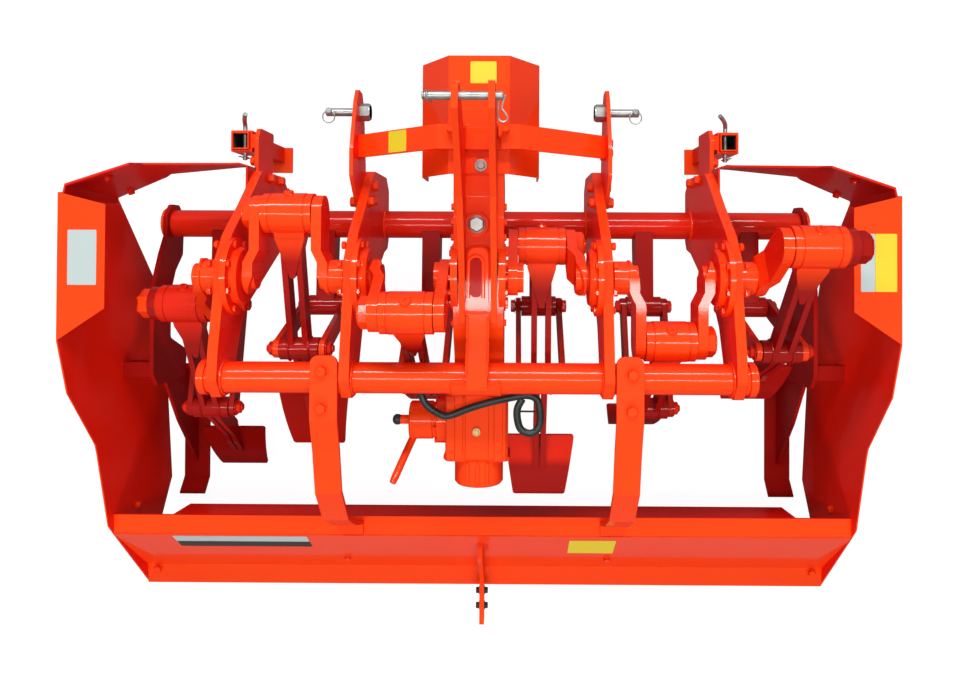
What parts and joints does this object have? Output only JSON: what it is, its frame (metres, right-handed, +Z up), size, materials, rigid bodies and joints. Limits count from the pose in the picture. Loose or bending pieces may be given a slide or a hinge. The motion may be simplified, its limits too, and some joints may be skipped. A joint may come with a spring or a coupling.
{
  "type": "spading machine",
  "caption": "Three-point mounted spading machine with a six-throw crankshaft that drives spades on rocker linkages, side shields, rear hood, depth skids and parking legs.",
  "frame": {"origin": "on the ground under the middle of the bounding box", "axes": "+X across the machine to the right as seen from behind, +Y forward to the tractor, +Z up"},
  "size_m": [2.1, 1.616, 0.9897],
  "materials": {
    "red_paint": "glossy orange-red paint over welded steel and castings",
    "zinc": "bright zinc plating",
    "bare_steel": "bare machined steel",
    "dark_coating": "dark green-grey coating"
  },
  "bodies": {
    "frame": {"crank_bearings": "red_paint", "front_tube": "red_paint", "gear_housing": "red_paint", "gear_lever": "red_paint", "gearbox": "red_paint", "hitch_braces": "red_paint", "hood_straps": "red_paint", "left_end_plate": "red_paint", "left_front_stay": "red_paint", "left_hitch_plate": "red_paint", "left_inner_frame_plate": "red_paint", "left_outer_frame_plate": "red_paint", "left_side_shield": "red_paint", "left_skid": "red_paint", "lower_hitch_pins": "zinc", "mast": "red_paint", "rear_bar": "red_paint", "rear_board": "red_paint", "rear_hood": "red_paint", "rear_tab": "red_paint", "rear_tube": "red_paint", "right_end_plate": "red_paint", "right_front_stay": "red_paint", "right_hitch_plate": "red_paint", "right_inner_frame_plate": "red_paint", "right_outer_frame_plate": "red_paint", "right_side_shield": "red_paint", "right_skid": "red_paint", "rocker_brackets": "red_paint", "selector_housing": "red_paint", "shaft_guard": "red_paint", "shaft_holder_hook": "dark_coating", "stand_brackets": "red_paint", "top_link_pin": "zinc"},
    "crankshaft": {"crankshaft": "red_paint"},
    "left_leg": {"left_stand_leg": "red_paint"},
    "input_shaft": {"pto_input_shaft": "bare_steel"},
    "right_leg": {"right_stand_leg": "red_paint"},
    "rocker_1": {"rocker_1": "red_paint"},
    "rocker_2": {"rocker_2": "red_paint"},
    "rocker_3": {"rocker_3": "red_paint"},
    "rocker_4": {"rocker_4": "red_paint"},
    "rocker_5": {"rocker_5": "red_paint"},
    "rocker_6": {"rocker_6": "red_paint"},
    "spade_1": {"spade_arm_1": "red_paint", "spade_blade_1": "red_paint"},
    "spade_2": {"spade_arm_2": "red_paint", "spade_blade_2": "red_paint"},
    "spade_3": {"spade_arm_3": "red_paint", "spade_blade_3": "red_paint"},
    "spade_4": {"spade_arm_4": "red_paint", "spade_blade_4": "red_paint"},
    "spade_5": {"spade_arm_5": "red_paint", "spade_blade_5": "red_paint"},
    "spade_6": {"spade_arm_6": "red_paint", "spade_blade_6": "red_paint"}
  },
  "joints": [
    {"name": "crankshaft_turn", "type": "hinge", "parent": "frame", "child": "crankshaft", "pos_m": [0, 0.262, 0.646], "axis": [1, 0, 0], "range_deg": [0, 30]},
    {"name": "input_shaft_turn", "type": "hinge", "parent": "frame", "child": "input_shaft", "pos_m": [0, 0.452, 0.55], "axis": [0, 1, 0], "range_deg": [0, 90]},
    {"name": "spade_1_crank_pin", "type": "hinge", "parent": "crankshaft", "child": "spade_1", "pos_m": [-0.7937, 0.1825, 0.5083], "axis": [1, 0, 0], "range_deg": [-48.41, 0]},
    {"name": "rocker_1_pivot", "type": "hinge", "parent": "frame", "child": "rocker_1", "pos_m": [-0.7937, 0.162, 0.25], "axis": [1, 0, 0], "range_deg": [-18.05, 0]},
    {"name": "spade_2_crank_pin", "type": "hinge", "parent": "crankshaft", "child": "spade_2", "pos_m": [-0.4777, 0.421, 0.646], "axis": [1, 0, 0], "range_deg": [-17.17, 0]},
    {"name": "rocker_2_pivot", "type": "hinge", "parent": "frame", "child": "rocker_2", "pos_m": [-0.4777, 0.162, 0.25], "axis": [1, 0, 0], "range_deg": [-2.31, 0]},
    {"name": "spade_3_crank_pin", "type": "hinge", "parent": "crankshaft", "child": "spade_3", "pos_m": [-0.1617, 0.1825, 0.7837], "axis": [1, 0, 0], "range_deg": [-29.42, 0]},
    {"name": "rocker_3_pivot", "type": "hinge", "parent": "frame", "child": "rocker_3", "pos_m": [-0.1617, 0.162, 0.25], "axis": [1, 0, 0], "range_deg": [0, 15.51]},
    {"name": "spade_4_crank_pin", "type": "hinge", "parent": "crankshaft", "child": "spade_4", "pos_m": [0.1617, 0.3415, 0.5083], "axis": [1, 0, 0], "range_deg": [-26.81, 0]},
    {"name": "rocker_4_pivot", "type": "hinge", "parent": "frame", "child": "rocker_4", "pos_m": [0.1617, 0.162, 0.25], "axis": [1, 0, 0], "range_deg": [-13.43, 0]},
    {"name": "spade_5_crank_pin", "type": "hinge", "parent": "crankshaft", "child": "spade_5", "pos_m": [0.4777, 0.103, 0.646], "axis": [1, 0, 0], "range_deg": [-37.12, 0]},
    {"name": "rocker_5_pivot", "type": "hinge", "parent": "frame", "child": "rocker_5", "pos_m": [0.4777, 0.162, 0.25], "axis": [1, 0, 0], "range_deg": [0, 9.67]},
    {"name": "spade_6_crank_pin", "type": "hinge", "parent": "crankshaft", "child": "spade_6", "pos_m": [0.7937, 0.3415, 0.7837], "axis": [1, 0, 0], "range_deg": [-21.52, 0]},
    {"name": "rocker_6_pivot", "type": "hinge", "parent": "frame", "child": "rocker_6", "pos_m": [0.7937, 0.162, 0.25], "axis": [1, 0, 0], "range_deg": [0, 8.23]},
    {"name": "left_leg_slide", "type": "slide", "parent": "frame", "child": "left_leg", "axis": [0, 0, 1], "range_m": [0, 0.2]},
    {"name": "right_leg_slide", "type": "slide", "parent": "frame", "child": "right_leg", "axis": [0, 0, 1], "range_m": [0, 0.2]}
  ],
  "couplings": [
    {"joint": "input_shaft_turn", "follows": "crankshaft_turn", "ratio": 3},
    {"joint": "spade_1_crank_pin", "follows": "crankshaft_turn", "ratio": -1.6132},
    {"joint": "rocker_1_pivot", "follows": "crankshaft_turn", "ratio": -0.60127},
    {"joint": "spade_2_crank_pin", "follows": "crankshaft_turn", "ratio": -0.57194},
    {"joint": "rocker_2_pivot", "follows": "crankshaft_turn", "ratio": -0.0765},
    {"joint": "spade_3_crank_pin", "follows": "crankshaft_turn", "ratio": -0.98022},
    {"joint": "rocker_3_pivot", "follows": "crankshaft_turn", "ratio": 0.51679},
    {"joint": "spade_4_crank_pin", "follows": "crankshaft_turn", "ratio": -0.89335},
    {"joint": "rocker_4_pivot", "follows": "crankshaft_turn", "ratio": -0.44745},
    {"joint": "spade_5_crank_pin", "follows": "crankshaft_turn", "ratio": -1.2371},
    {"joint": "rocker_5_pivot", "follows": "crankshaft_turn", "ratio": 0.32192},
    {"joint": "spade_6_crank_pin", "follows": "crankshaft_turn", "ratio": -0.71695},
    {"joint": "rocker_6_pivot", "follows": "crankshaft_turn", "ratio": 0.27404}
  ]
}
